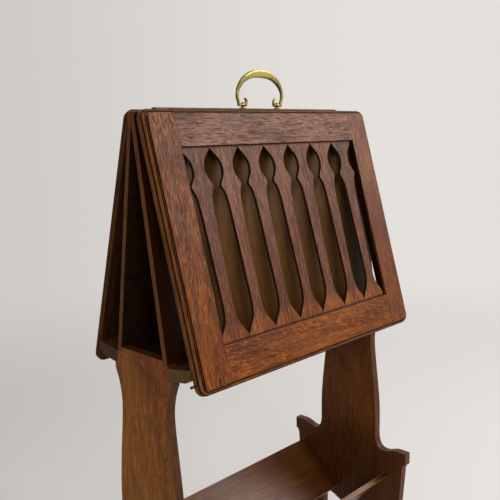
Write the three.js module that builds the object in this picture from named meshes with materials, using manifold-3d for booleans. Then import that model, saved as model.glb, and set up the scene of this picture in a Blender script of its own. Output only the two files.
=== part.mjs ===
// Double-sided oak atlas stand: two shaped end supports carry an A-frame of dividers,
// a slatted flap hangs on each side from the ridge, and a V-shaped book trough sits below.
import * as THREE from 'three';
import { mergeVertices } from 'three/addons/utils/BufferGeometryUtils.js';
import Module from 'manifold-3d';

const wasm = await Module();
wasm.setup();

// All lengths are in millimetres, X along the stand, Y to the back, Z up from the floor.

// Clearances shared by every joint
const GAP = 0.3; // between wooden pieces that bear on each other
const FIT = 0.15; // around brass and steel let into wood
const RUN = 0.05; // round a turning pin

// Whole stand
const LENGTH = 515; // over the outer faces of the supports
const RIDGE_Z = 908; // floor to the top of the dividers
const SEAT_Z = 554.6; // floor to the shoulder that the dividers stand on

// Dividers
const DIVIDER_T = 8.5;
const DIVIDER_SHORT = 6; // right end, from the outer face of the support
const DIVIDER_TOP_HALF = 6; // centre plane to the outer face at the ridge
const DIVIDER_FOOT_HALF = 59; // centre plane to the outer face at the shoulder

// Platform board between the supports and the pegs through its ends
const PLATFORM_T = 21;
const PEG_R = 5;
const PEG_L = 45;
const PEG_SPREAD = 49; // centre peg to an outer peg
const PEG_DROP = 6.4; // shoulder to the centre of the pegs, past the radius

// Ledges
const LEDGE_T = 19;
const LEDGE_DROP = 3.2; // shoulder down to the inner top edge
const LEDGE_LIP = 4; // flat part of the outer edge above the round
const LEDGE_SET = 0.4; // outer edge to the back of a hanging flap

// Flaps
const FLAP_LEAN = THREE.MathUtils.degToRad(16);
const FLAP_OFF = 25; // centre plane to the top edge of the flap face
const FLAP_TOP_Z = 906; // floor to the top edge of the flap face
const FLAP_SHORT = 1.5; // outer face of a support in to the flap's edge
const FLAP_H = 388; // face of the frame, without the edge moulding
const FLAP_T = 17;
const STILE_W = 47.25;
const TOP_RAIL_W = 48.7;
const BOTTOM_RAIL_W = 51.6;
const FACE_CORNER_R = 6;

// Edge moulding of a flap, from the face backwards
const QUIRK_DEEP = 2.5; // step from the face down to the ovolo
const QUIRK_WIDE = 1.6;
const OVOLO_DEEP = 5.5;
const OVOLO_OUT = 6.6; // ovolo beyond the face outline
const BAND_AT = 8; // face to the front of the flat band
const BAND_OUT = 8; // flat band beyond the face outline
const BAND_EASE = 1.2; // eased back edge
const FLAP_W = LENGTH - 2 * (FLAP_SHORT + BAND_OUT); // face of the frame

// Joints of the flap frame
const TENON_L = 22;
const TENON_T = 8;
const TENON_AT = 6; // face to the tenon, and to the slats
const TENON_SHOULDER = 8; // tenon below the outer edge of the rail
const SLAT_T = 5.4;
const SLAT_HOUSED = 6; // slat end inside the groove of a rail

// Slats and the flame-shaped openings between them
const SLATS = 7;
const TIP_TOP = 3; // top of the frame opening down to the upper tip
const BULB_HALF = 17.3;
const BULB_DOWN = 33;
const NECK_HALF = 7.4;
const NECK_DOWN = 62.5;
const HIP_HALF = 16;
const HIP_DOWN = 108.5;
const FLAME_HALF = 19.5;
const FLAME_UP = 58.7; // bottom of the frame opening up to the widest part
const TIP_UP = 6.7; // bottom of the frame opening up to the lower tip

// Butt hinges at the top of each flap
const HINGE_X = 140; // centre plane to the middle of a hinge
const HINGE_L = 50;
const KNUCKLE_R = 3;
const KNUCKLE_MID = 19.4;
const HINGE_PIN_R = 1.2;
const LEAF_T = 1.5;
const LEAF_H = 22;
const HINGE_DEEP = 14; // flap face back to the hinge axis
const HINGE_UP = 5.5; // top edge of the face up to the hinge axis

// Catch pin in the lower side edge of each flap
const CATCH_R = 2;
const CATCH_OUT = 8;
const CATCH_IN = 15;
const CATCH_UP = 9.5; // bottom edge of the face up to the pin
const CATCH_DEEP = 12.5; // face back to the pin

// Ridge cap
const CAP_L = 410;
const CAP_SHIFT = -12; // the cap's middle from the middle of the stand
const CAP_W = 11.2;
const CAP_H = 5.7;
const CAP_ROUND = 2.6;

// Handle on the ridge
const POST_X = 40; // centre to the middle of a post
const POST_FOOT_R = 5.4;
const POST_FOOT_H = 1.6;
const POST_EYE_R = 4.2;
const POST_EYE_UP = 5.6; // cap to the handle's axis
const SHANK_R = 2.4;
const SHANK_L = 4.6;
const PIVOT_R = 1.9;
const BAIL_TOP = 49.7; // handle's axis up to the middle of the grip
const BAIL_HALF = 52.2; // centre to the middle of an arm at its widest
const BAIL_WIDE_UP = 15; // handle's axis up to the widest part
const BAIL_FOOT_HALF = 48.2; // centre to the middle of an arm at the axis
const GRIP_W = 12.2;
const ARM_W = 4.6;
const ARM_FOOT_W = 4;
const GRIP_T = 8.4; // front to back in the middle of the grip
const ARM_T = 4.6; // front to back along the lower arms
const BAIL_ROUND = 1.2;
const SCROLL_RISE = 10.5; // handle's axis up to the tip of a curled end
const SCROLL_W = 4.8;
const SCROLL_TIP_W = 2.6;

// Supports
const SUPPORT_T = 15;
const TONGUE_RISE = 5.4; // shoulder up to the top between the dividers
const HEAD_HALF = 67;
const HEAD_Z = 525; // bottom of the straight part of the head
const WAIST_HALF = 54;
const WAIST_Z = 473;
const BELLY_HALF = 68.5;
const BELLY_TOP_Z = 315;
const BELLY_LOW_Z = 283;
const VALLEY_Y = 88;
const VALLEY_Z = 254.5;
const EAR_IN = 118; // centre to the inner corner of an ear
const EAR_HALF = 139;
const EAR_TOP_Z = 262;
const EAR_H = 23;
const LEG_TOP_HALF = 131;
const LEG_TOP_Z = 222;
const FOOT_HALF = 112;
const ARCH_HALF = 63; // foot cut-out
const ARCH_SIDE_Z = 104;
const LOBE_Y = 45;
const LOBE_Z = 122;
const ARCH_MID_Z = 106;

// Trough
const TROUGH_T = 10;
const TROUGH_SLOPE = THREE.MathUtils.degToRad(42.2); // back board from the level
const TROUGH_BACK_W = 120;
const TROUGH_BACK_Y = 111.9; // top edge of the back board's upper face
const TROUGH_BACK_Z = 222.6;
const TROUGH_FRONT_W = 110;
const TROUGH_FRONT_Y = -90.3; // top edge of the front board's inner face
const TROUGH_FRONT_Z = 210.1;
const HOUSING = 5; // depth of the grooves for the board ends

// Smoothness of curves
const CURVE_STEPS = 7;
const SLAT_STEPS = 5;
const ROUND_STEPS = 16;

// Sizes that follow from the ones above
const INNER_X = LENGTH / 2 - SUPPORT_T; // centre to a support's inner face
const DIVIDER_LEAN = Math.atan((DIVIDER_FOOT_HALF - DIVIDER_TOP_HALF) / (RIDGE_Z - SEAT_Z));
const GAP_Y = GAP / Math.cos(DIVIDER_LEAN);
const CAP_TOP_Z = RIDGE_Z + GAP + CAP_H;
const BAIL_Z = CAP_TOP_Z + POST_EYE_UP;
const OPENING_W = FLAP_W - 2 * STILE_W;
const OPENING_H = FLAP_H - TOP_RAIL_W - BOTTOM_RAIL_W;

// Half widths of the A-frame at a height: outer and inner faces of the dividers
function outerHalf(z) {
  return DIVIDER_TOP_HALF + (RIDGE_Z - z) * Math.tan(DIVIDER_LEAN);
}

function innerHalf(z) {
  return outerHalf(z) - DIVIDER_T / Math.cos(DIVIDER_LEAN);
}

// Finishes
const OAK = { color: 0x6d4631, roughness: 0.5, metalness: 0 };
const OAK_DARK = { color: 0x55381f, roughness: 0.55, metalness: 0 };
const OAK_SLAT = { color: 0x644634, roughness: 0.5, metalness: 0 };
const OAK_PEG = { color: 0x7c4a2b, roughness: 0.6, metalness: 0 };
const BRASS = { color: 0x9a8238, roughness: 0.35, metalness: 1 };
const STEEL = { color: 0x1d1b1a, roughness: 0.45, metalness: 0.8 };

const stand = new THREE.Group();
stand.name = 'atlas_stand';

// A closed three.js shape made ready for cutting and joining
function solid(geometry) {
  const plain = geometry.clone();
  plain.deleteAttribute('normal');
  plain.deleteAttribute('uv');
  const merged = mergeVertices(plain, 1e-4);
  const corners = merged.index.array;
  const kept = [];
  for (let i = 0; i < corners.length; i += 3) {
    const [a, b, c] = [corners[i], corners[i + 1], corners[i + 2]];
    if (a !== b && b !== c && c !== a) kept.push(a, b, c);
  }
  return new wasm.Manifold(new wasm.Mesh({
    numProp: 3,
    vertProperties: new Float32Array(merged.attributes.position.array),
    triVerts: new Uint32Array(kept),
  }));
}

// The cut or joined body as three.js geometry again
function skin(body) {
  const mesh = body.getMesh();
  const geometry = new THREE.BufferGeometry();
  geometry.setAttribute('position', new THREE.BufferAttribute(mesh.vertProperties, 3));
  geometry.setIndex(new THREE.BufferAttribute(mesh.triVerts, 1));
  geometry.computeVertexNormals();
  return geometry;
}

function cut(body, ...tools) {
  let left = body;
  for (const tool of tools) left = left.subtract(tool);
  return left;
}

function join(body, ...more) {
  let whole = body;
  for (const other of more) whole = whole.add(other);
  return whole;
}

// A named piece of the stand
function piece(parent, name, geometry, finish) {
  const mesh = new THREE.Mesh(geometry, new THREE.MeshStandardMaterial(finish));
  mesh.name = name;
  parent.add(mesh);
  return mesh;
}

// A box given by its two ends along each axis
function block(x0, x1, y0, y1, z0, z1) {
  const geometry = new THREE.BoxGeometry(x1 - x0, y1 - y0, z1 - z0);
  return geometry.translate((x0 + x1) / 2, (y0 + y1) / 2, (z0 + z1) / 2);
}

// An outline drawn in Y and Z, run along X
function alongX(shape, x0, x1, steps = CURVE_STEPS) {
  const geometry = new THREE.ExtrudeGeometry(shape, {
    depth: x1 - x0, bevelEnabled: false, curveSegments: steps,
  });
  const turn = new THREE.Matrix4().makeBasis(
    new THREE.Vector3(0, 1, 0), new THREE.Vector3(0, 0, 1), new THREE.Vector3(1, 0, 0));
  return geometry.applyMatrix4(turn).translate(x0, 0, 0);
}

// An outline drawn in X and Z, run back along Y, with both ends rounded if asked
function alongY(shape, y0, y1, round = 0, inset = 0, rings = 3, steps = CURVE_STEPS) {
  const geometry = new THREE.ExtrudeGeometry(shape, {
    depth: y1 - y0 - 2 * round,
    bevelEnabled: round > 0,
    bevelThickness: round,
    bevelSize: inset,
    bevelOffset: -inset,
    bevelSegments: rings,
    curveSegments: steps,
  });
  return geometry.rotateX(Math.PI / 2).translate(0, y1 - round, 0);
}

// A round bar along X
function barX(radius, x0, x1, y = 0, z = 0, sides = ROUND_STEPS) {
  const geometry = new THREE.CylinderGeometry(radius, radius, x1 - x0, sides);
  return geometry.rotateZ(Math.PI / 2).translate((x0 + x1) / 2, y, z);
}

function placed(geometry, y, z, angle) {
  return geometry.rotateX(angle).translate(0, y, z);
}

function polygon(points) {
  return new THREE.Shape(points.map(([a, b]) => new THREE.Vector2(a, b)));
}

// A rectangle with rounded corners that grows by the given margin all round
function roundedPanel(width, height, corner, margin) {
  const r = corner + margin;
  const x = width / 2 + margin;
  const top = margin;
  const low = -height - margin;
  const shape = new THREE.Shape();
  shape.moveTo(x, low + r);
  shape.lineTo(x, top - r);
  shape.absarc(x - r, top - r, r, 0, Math.PI / 2);
  shape.absarc(-x + r, top - r, r, Math.PI / 2, Math.PI);
  shape.absarc(-x + r, low + r, r, Math.PI, 1.5 * Math.PI);
  shape.absarc(x - r, low + r, r, 1.5 * Math.PI, 2 * Math.PI);
  return shape;
}

// A flat band of changing width along a curve drawn in X and Z
function ribbon(curve, widthAt, steps) {
  const left = [];
  const right = [];
  for (let i = 0; i <= steps; i += 1) {
    const t = i / steps;
    const at = curve.getPoint(t);
    const along = curve.getTangent(t);
    const half = widthAt(t) / 2;
    left.push(new THREE.Vector2(at.x - along.y * half, at.y + along.x * half));
    right.push(new THREE.Vector2(at.x + along.y * half, at.y - along.x * half));
  }
  return new THREE.Shape(right.concat(left.reverse()));
}

// Trough boards, drawn flat and tipped into the V; the extra lets the grooves share the shape
function troughBack(x0, x1, extra = 0) {
  const board = block(x0, x1, -extra, TROUGH_T + extra, -TROUGH_BACK_W - extra, extra);
  return placed(board, TROUGH_BACK_Y, TROUGH_BACK_Z, TROUGH_SLOPE - Math.PI / 2);
}

function troughFront(x0, x1, extra = 0) {
  const board = block(x0, x1, -TROUGH_T - extra, extra, -TROUGH_FRONT_W - extra, extra);
  return placed(board, TROUGH_FRONT_Y, TROUGH_FRONT_Z, TROUGH_SLOPE);
}

// Pegs that hold the platform: one in the middle and one each side
const pegZ = SEAT_Z - PEG_DROP;
const pegs = [['front', -PEG_SPREAD], ['middle', 0], ['back', PEG_SPREAD]];

// Half of a support's outline, from the top of the tongue down to the middle of the foot arch
function supportHalf() {
  const ledgeIn = SEAT_Z - LEDGE_DROP;
  const slope = Math.tan(DIVIDER_LEAN);
  const notchZ = ledgeIn - (LEDGE_T + GAP) * Math.cos(DIVIDER_LEAN);
  const notchY = outerHalf(notchZ);
  const path = new THREE.Path();
  path.moveTo(0, SEAT_Z + TONGUE_RISE);
  path.lineTo(innerHalf(SEAT_Z + TONGUE_RISE) - GAP_Y, SEAT_Z + TONGUE_RISE);
  path.lineTo(innerHalf(SEAT_Z) - GAP_Y, SEAT_Z);
  path.lineTo(outerHalf(SEAT_Z), SEAT_Z);
  path.lineTo(notchY, notchZ);
  path.lineTo(HEAD_HALF, notchZ + (HEAD_HALF - notchY) * slope);
  path.lineTo(HEAD_HALF, HEAD_Z);
  path.bezierCurveTo(
    HEAD_HALF - 6.5, HEAD_Z - 13, WAIST_HALF, WAIST_Z + 22, WAIST_HALF, WAIST_Z);
  path.bezierCurveTo(
    WAIST_HALF, WAIST_Z - 33, BELLY_HALF, BELLY_TOP_Z + 55, BELLY_HALF, BELLY_TOP_Z);
  path.lineTo(BELLY_HALF, BELLY_LOW_Z);
  path.bezierCurveTo(
    BELLY_HALF, BELLY_LOW_Z - 15, VALLEY_Y - 14, VALLEY_Z, VALLEY_Y, VALLEY_Z);
  path.bezierCurveTo(
    VALLEY_Y + 10, VALLEY_Z, EAR_IN - 10, EAR_TOP_Z, EAR_IN, EAR_TOP_Z);
  path.lineTo(EAR_HALF, EAR_TOP_Z);
  path.lineTo(EAR_HALF, EAR_TOP_Z - EAR_H);
  path.quadraticCurveTo(LEG_TOP_HALF, EAR_TOP_Z - EAR_H - 2, LEG_TOP_HALF, LEG_TOP_Z);
  path.lineTo(FOOT_HALF, 0);
  path.lineTo(ARCH_HALF, 0);
  path.lineTo(ARCH_HALF, ARCH_SIDE_Z);
  path.bezierCurveTo(
    ARCH_HALF, (ARCH_SIDE_Z + 2 * LOBE_Z) / 3, LOBE_Y + 9, LOBE_Z, LOBE_Y, LOBE_Z);
  path.bezierCurveTo(
    LOBE_Y * 0.8, LOBE_Z, LOBE_Y * 0.45, ARCH_MID_Z + 4, 0, ARCH_MID_Z);
  return path.getPoints(CURVE_STEPS);
}

// End supports: one shaped plank each, grooved for the trough and bored for the pegs
const halfOutline = supportHalf();
const otherHalf = halfOutline.slice(1, -1).reverse().map((p) => new THREE.Vector2(-p.x, p.y));
const supportShape = new THREE.Shape(halfOutline.concat(otherHalf));
for (const [side, sign] of [['left', -1], ['right', 1]]) {
  const xs = [sign * INNER_X, sign * LENGTH / 2].sort((a, b) => a - b);
  const groove = [sign * (INNER_X - 1), sign * (INNER_X + HOUSING)].sort((a, b) => a - b);
  const holes = pegs.map(([, y]) => solid(barX(PEG_R + FIT, xs[0] - 1, xs[1] + 1, y, pegZ)));
  const plank = cut(
    solid(alongX(supportShape, xs[0], xs[1])),
    solid(troughBack(groove[0], groove[1], FIT)),
    solid(troughFront(groove[0], groove[1], FIT)),
    ...holes);
  piece(stand, `${side}_support`, skin(plank), OAK_DARK);
}

// Platform board between the supports, its long edges bevelled in line with the dividers
const platformEnd = INNER_X - GAP;
const platformShape = polygon([
  [-outerHalf(SEAT_Z), SEAT_Z],
  [-outerHalf(SEAT_Z - PLATFORM_T), SEAT_Z - PLATFORM_T],
  [outerHalf(SEAT_Z - PLATFORM_T), SEAT_Z - PLATFORM_T],
  [outerHalf(SEAT_Z), SEAT_Z],
]);
let platform = solid(alongX(platformShape, -platformEnd, platformEnd));
const pegTip = LENGTH / 2 - PEG_L;
for (const [, y] of pegs) {
  const bore = barX(PEG_R + FIT, pegTip - GAP, platformEnd + 1, y, pegZ);
  platform = cut(platform, solid(bore), solid(bore.clone().rotateY(Math.PI).translate(0, 0, 2 * pegZ)));
}
piece(stand, 'platform_board', skin(platform), OAK_DARK);

for (const [row, y] of pegs) {
  piece(stand, `left_${row}_peg`, barX(PEG_R, -LENGTH / 2, -pegTip, y, pegZ), OAK_PEG);
  piece(stand, `right_${row}_peg`, barX(PEG_R, pegTip, LENGTH / 2, y, pegZ), OAK_PEG);
}

// Book trough: two boards square to each other with an open slot along the bottom
const troughEnd = INNER_X + HOUSING - GAP;
piece(stand, 'trough_back_board', troughBack(-troughEnd, troughEnd), OAK_DARK);
piece(stand, 'trough_front_board', troughFront(-troughEnd, troughEnd), OAK_DARK);

// Ridge cap over the dividers, bored for the handle posts
const capShape = new THREE.Shape();
capShape.moveTo(-CAP_W / 2, RIDGE_Z + GAP);
capShape.lineTo(CAP_W / 2, RIDGE_Z + GAP);
capShape.absarc(CAP_W / 2 - CAP_ROUND, CAP_TOP_Z - CAP_ROUND, CAP_ROUND, 0, Math.PI / 2);
capShape.absarc(-CAP_W / 2 + CAP_ROUND, CAP_TOP_Z - CAP_ROUND, CAP_ROUND, Math.PI / 2, Math.PI);
const shankHole = new THREE.CylinderGeometry(SHANK_R + FIT, SHANK_R + FIT, SHANK_L + 2, ROUND_STEPS);
shankHole.rotateX(Math.PI / 2).translate(0, 0, CAP_TOP_Z - SHANK_L / 2 + 1 - GAP);
const cap = cut(
  solid(alongX(capShape, CAP_SHIFT - CAP_L / 2, CAP_SHIFT + CAP_L / 2, 4)),
  solid(shankHole.clone().translate(-POST_X, 0, 0)),
  solid(shankHole.clone().translate(POST_X, 0, 0)));
piece(stand, 'ridge_cap', skin(cap), OAK);

// Handle posts: turned shank, foot and ball, with a cross hole for the handle's end
const postProfile = new THREE.Path();
postProfile.moveTo(0, -SHANK_L);
postProfile.lineTo(SHANK_R, -SHANK_L);
postProfile.lineTo(SHANK_R, GAP);
postProfile.lineTo(POST_FOOT_R, GAP);
postProfile.lineTo(POST_FOOT_R, POST_FOOT_H);
const footAngle = Math.asin((POST_FOOT_H - POST_EYE_UP) / POST_EYE_R);
postProfile.absarc(0, POST_EYE_UP, POST_EYE_R, footAngle, Math.PI / 2);
const postPoints = postProfile.getPoints(8);
postPoints[postPoints.length - 1].x = 0;
const turned = new THREE.LatheGeometry(postPoints, 20).rotateX(Math.PI / 2);
for (const [side, sign] of [['left', -1], ['right', 1]]) {
  const eye = barX(PIVOT_R + RUN, -POST_EYE_R - 1, POST_EYE_R + 1, 0, POST_EYE_UP, 20);
  const post = piece(stand, `${side}_handle_post`, skin(cut(solid(turned), solid(eye))), BRASS);
  post.position.set(sign * POST_X, 0, CAP_TOP_Z);
}

// Handle: a crescent grip, thick in the middle and slim in the arms, whose ends turn in
// through the posts and curl up
function bailWidth(t) {
  const mid = 1 - Math.abs(2 * t - 1);
  if (mid < 0.45) return THREE.MathUtils.lerp(ARM_FOOT_W, ARM_W, mid / 0.45);
  return THREE.MathUtils.lerp(ARM_W, GRIP_W, THREE.MathUtils.smoothstep(mid, 0.4, 1));
}

const armPoints = [
  [BAIL_FOOT_HALF, -ARM_FOOT_W / 2],
  [BAIL_FOOT_HALF + 1, BAIL_WIDE_UP * 0.3],
  [BAIL_HALF, BAIL_WIDE_UP],
  [BAIL_HALF * 0.925, BAIL_WIDE_UP + (BAIL_TOP - BAIL_WIDE_UP) * 0.37],
  [BAIL_HALF * 0.715, BAIL_WIDE_UP + (BAIL_TOP - BAIL_WIDE_UP) * 0.715],
  [BAIL_HALF * 0.4, BAIL_WIDE_UP + (BAIL_TOP - BAIL_WIDE_UP) * 0.935],
];
const bailPoints = [
  ...armPoints.map(([x, z]) => new THREE.Vector2(-x, z)),
  new THREE.Vector2(0, BAIL_TOP),
  ...armPoints.slice().reverse().map(([x, z]) => new THREE.Vector2(x, z)),
];
const grip = ribbon(new THREE.SplineCurve(bailPoints), bailWidth, 34);
const bailLow = -ARM_FOOT_W;
const bailHigh = BAIL_TOP + GRIP_W;
const bailSide = new THREE.Shape();
bailSide.moveTo(-ARM_T / 2, bailLow);
bailSide.lineTo(ARM_T / 2, bailLow);
bailSide.lineTo(ARM_T / 2, BAIL_WIDE_UP);
bailSide.bezierCurveTo(
  ARM_T / 2, BAIL_TOP * 0.6, GRIP_T / 2, BAIL_TOP * 0.75, GRIP_T / 2, BAIL_TOP);
bailSide.lineTo(GRIP_T / 2, bailHigh);
bailSide.lineTo(-GRIP_T / 2, bailHigh);
bailSide.lineTo(-GRIP_T / 2, BAIL_TOP);
bailSide.bezierCurveTo(
  -GRIP_T / 2, BAIL_TOP * 0.75, -ARM_T / 2, BAIL_TOP * 0.6, -ARM_T / 2, BAIL_WIDE_UP);
const bailTaper = solid(alongX(bailSide, -BAIL_HALF - ARM_W, BAIL_HALF + ARM_W, 8));
const scrollStart = POST_X - POST_EYE_R - 1.8;
const scrollCurve = new THREE.SplineCurve([
  new THREE.Vector2(scrollStart + 0.6, -PIVOT_R + 0.4),
  new THREE.Vector2(scrollStart - 1.4, SCROLL_RISE * 0.14),
  new THREE.Vector2(scrollStart - 2.3, SCROLL_RISE * 0.5),
  new THREE.Vector2(scrollStart - 1, SCROLL_RISE * 0.86),
  new THREE.Vector2(scrollStart + 2, SCROLL_RISE),
]);
const scroll = ribbon(
  scrollCurve, (t) => THREE.MathUtils.lerp(SCROLL_W, SCROLL_TIP_W, t), 9);
const scrollSolid = alongY(scroll, -SCROLL_W / 2, SCROLL_W / 2, 0.8, 0.6, 2);
const pivot = barX(PIVOT_R, scrollStart - 1, BAIL_FOOT_HALF, 0, 0, 20);
const bail = join(
  solid(alongY(grip, -GRIP_T / 2, GRIP_T / 2, BAIL_ROUND, BAIL_ROUND)).intersect(bailTaper),
  solid(pivot),
  solid(pivot.clone().rotateZ(Math.PI)),
  solid(scrollSolid),
  solid(scrollSolid.clone().rotateZ(Math.PI)));
const handle = piece(stand, 'handle_bail', skin(bail), BRASS);
handle.position.set(0, 0, BAIL_Z);

// Edge of one slat from top to bottom, as the opening's half width and the way down
function openingEdge() {
  const flameDown = OPENING_H - FLAME_UP;
  const tipDown = OPENING_H - TIP_UP;
  const path = new THREE.Path();
  path.moveTo(0, TIP_TOP);
  path.bezierCurveTo(
    BULB_HALF * 0.58, TIP_TOP + 6, BULB_HALF, BULB_DOWN - 11, BULB_HALF, BULB_DOWN);
  path.bezierCurveTo(
    BULB_HALF, BULB_DOWN + 13, NECK_HALF, NECK_DOWN - 7.5, NECK_HALF, NECK_DOWN);
  path.bezierCurveTo(
    NECK_HALF, NECK_DOWN + 7.5, HIP_HALF, HIP_DOWN - 26.5, HIP_HALF, HIP_DOWN);
  path.bezierCurveTo(
    HIP_HALF, HIP_DOWN + 31.5, FLAME_HALF - 1.3, flameDown - 29, FLAME_HALF, flameDown);
  path.bezierCurveTo(
    FLAME_HALF + 0.8, flameDown + 18, FLAME_HALF * 0.62, tipDown - 17, 0, tipDown);
  return path.getPoints(SLAT_STEPS);
}

const slatPitch = OPENING_W / SLATS;
const slatHalf = (slatPitch - GAP) / 2;
const slatTop = -TOP_RAIL_W;
const slatEdge = openingEdge().map((p) => new THREE.Vector2(slatHalf - p.x, slatTop - p.y));
const slatSide = [
  new THREE.Vector2(slatHalf, slatTop + SLAT_HOUSED),
  ...slatEdge,
  new THREE.Vector2(slatHalf, slatTop - OPENING_H - SLAT_HOUSED),
];
const slatMirror = slatSide.slice().reverse().map((p) => new THREE.Vector2(-p.x, p.y));
const slatShape = new THREE.Shape(slatSide.concat(slatMirror));

// The whole moulded frame of a flap before it is parted into stiles and rails
function flapFrame() {
  const face = roundedPanel(FLAP_W, FLAP_H, FACE_CORNER_R, 0);
  const ovolo = roundedPanel(FLAP_W, FLAP_H, FACE_CORNER_R, OVOLO_OUT);
  const band = roundedPanel(FLAP_W, FLAP_H, FACE_CORNER_R, BAND_OUT);
  const ovoloRun = OVOLO_OUT - QUIRK_WIDE;
  const ovoloEnd = BAND_AT + 1 + OVOLO_DEEP;
  const backEnd = FLAP_T - BAND_EASE;
  const moulded = join(
    solid(alongY(face, 0, BAND_AT, 0, 0, 3, 4)),
    solid(alongY(ovolo, QUIRK_DEEP, ovoloEnd, OVOLO_DEEP, ovoloRun, 4, 4)),
    solid(alongY(band, BAND_AT, backEnd, 0, 0, 3, 4)),
    solid(alongY(band, BAND_AT + 2, FLAP_T, BAND_EASE, BAND_EASE, 1, 4)));
  return cut(moulded, solid(block(
    -OPENING_W / 2, OPENING_W / 2, -1, FLAP_T + 1, slatTop - OPENING_H, slatTop)));
}

// Hinge axis as the flap sees it, and the same line as the divider sees it
const sinF = Math.sin(FLAP_LEAN);
const cosF = Math.cos(FLAP_LEAN);
const axisY = -FLAP_OFF + HINGE_DEEP * cosF + HINGE_UP * sinF;
const axisZ = FLAP_TOP_Z - HINGE_DEEP * sinF + HINGE_UP * cosF;
const awayY = axisY + DIVIDER_TOP_HALF;
const awayZ = axisZ - RIDGE_Z;
const hingeY = awayY * Math.cos(DIVIDER_LEAN) - awayZ * Math.sin(DIVIDER_LEAN);
const hingeZ = awayY * Math.sin(DIVIDER_LEAN) + awayZ * Math.cos(DIVIDER_LEAN);
const hinges = [['left', -HINGE_X], ['right', HINGE_X]];
const half = HINGE_L / 2;
const mid = KNUCKLE_MID / 2;

// Brass leaf let into the divider, with the two outer knuckles
function fixedLeaf() {
  const plate = block(-half, half, 0, LEAF_T, hingeZ - LEAF_H, hingeZ + 0.5);
  let leaf = solid(plate);
  for (const ends of [[-half, -mid - GAP], [mid + GAP, half]]) {
    leaf = join(
      leaf,
      solid(barX(KNUCKLE_R, ends[0], ends[1], hingeY, hingeZ)),
      solid(block(ends[0], ends[1], hingeY, LEAF_T, hingeZ - 1.2, hingeZ + 0.5)));
  }
  return cut(leaf, solid(barX(HINGE_PIN_R + RUN, -half - 1, half + 1, hingeY, hingeZ)));
}

// Brass leaf let into the flap's back, with the middle knuckle
function movingLeaf() {
  const front = FLAP_T - LEAF_T;
  const plateTop = HINGE_UP - KNUCKLE_R - GAP;
  const leaf = join(
    solid(block(-half, half, front, FLAP_T, HINGE_UP - LEAF_H, plateTop)),
    solid(block(-mid, mid, front, FLAP_T, plateTop - 1, HINGE_UP)),
    solid(barX(KNUCKLE_R, -mid, mid, HINGE_DEEP, HINGE_UP)));
  return cut(leaf, solid(barX(HINGE_PIN_R + RUN, -mid - 1, mid + 1, HINGE_DEEP, HINGE_UP)));
}

// Room in the top rail for a hinge: the barrel's notch and the leaf's recess
function railHinge(x) {
  const around = KNUCKLE_R + 2 * GAP;
  const x0 = x - half - FIT;
  const x1 = x + half + FIT;
  return [
    solid(block(x0, x1, HINGE_DEEP - around, FLAP_T + 1, HINGE_UP - around, BAND_OUT + 1)),
    solid(block(x0, x1, FLAP_T - LEAF_T - FIT, FLAP_T + 1, HINGE_UP - LEAF_H - FIT, HINGE_UP)),
  ];
}

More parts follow.
